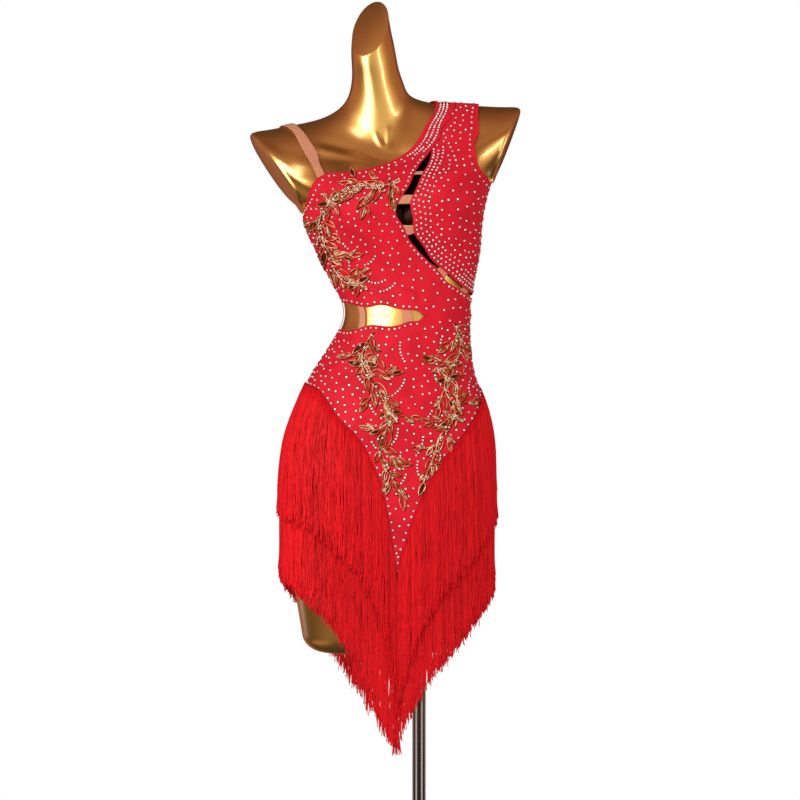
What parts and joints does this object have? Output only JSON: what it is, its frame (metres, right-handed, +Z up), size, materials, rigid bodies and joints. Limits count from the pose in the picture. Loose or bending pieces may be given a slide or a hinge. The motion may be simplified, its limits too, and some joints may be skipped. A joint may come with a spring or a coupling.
{
  "type": "salsa dance dress on a limbless dress form",
  "caption": "One-shoulder cut-out dance dress with tiered fringe, worn on a torso form that stands on a pole with a round base.",
  "frame": {"origin": "centre of the base plate's underside, on the pole's axis", "axes": "+Z up along the pole, -Y the way the dress faces, +X towards the wearer's left"},
  "size_m": [0.4369, 0.33, 1.5969],
  "materials": {
    "red_stretch_jersey": "matte stretch jersey",
    "red_rayon_fringe": "silky twisted rayon cord",
    "nude_elastic": "ribbed elastic",
    "gold_lacquer": "glossy gold lacquer on a moulded shell",
    "chrome_plate": "polished",
    "brushed_steel": "satin"
  },
  "bodies": {
    "root": {"dress_form": "gold_lacquer", "pole": "chrome_plate", "pole_flange": "chrome_plate", "base_plate": "brushed_steel", "bodice_front": "red_stretch_jersey", "bodice_left": "red_stretch_jersey", "bodice_back": "red_stretch_jersey", "hip_front": "red_stretch_jersey", "hip_back": "red_stretch_jersey", "skirt_front_right": "red_stretch_jersey", "skirt_front_left": "red_stretch_jersey", "skirt_back_left": "red_stretch_jersey", "skirt_back_right": "red_stretch_jersey", "shoulder_strap": "nude_elastic", "slit_bridge_1": "nude_elastic", "slit_bridge_2": "nude_elastic", "slit_bridge_3": "nude_elastic", "slit_bridge_4": "nude_elastic", "slit_bridge_5": "nude_elastic", "waist_bridge_1": "nude_elastic", "waist_bridge_2": "nude_elastic", "waist_bridge_3": "nude_elastic", "fringe_upper_front_right": "red_rayon_fringe", "fringe_upper_front_left": "red_rayon_fringe", "fringe_upper_back_left": "red_rayon_fringe", "fringe_upper_back_right": "red_rayon_fringe", "fringe_lower_front_right": "red_rayon_fringe", "fringe_lower_front_left": "red_rayon_fringe", "fringe_lower_back_left": "red_rayon_fringe", "fringe_lower_back_right": "red_rayon_fringe"}
  },
  "joints": []
}
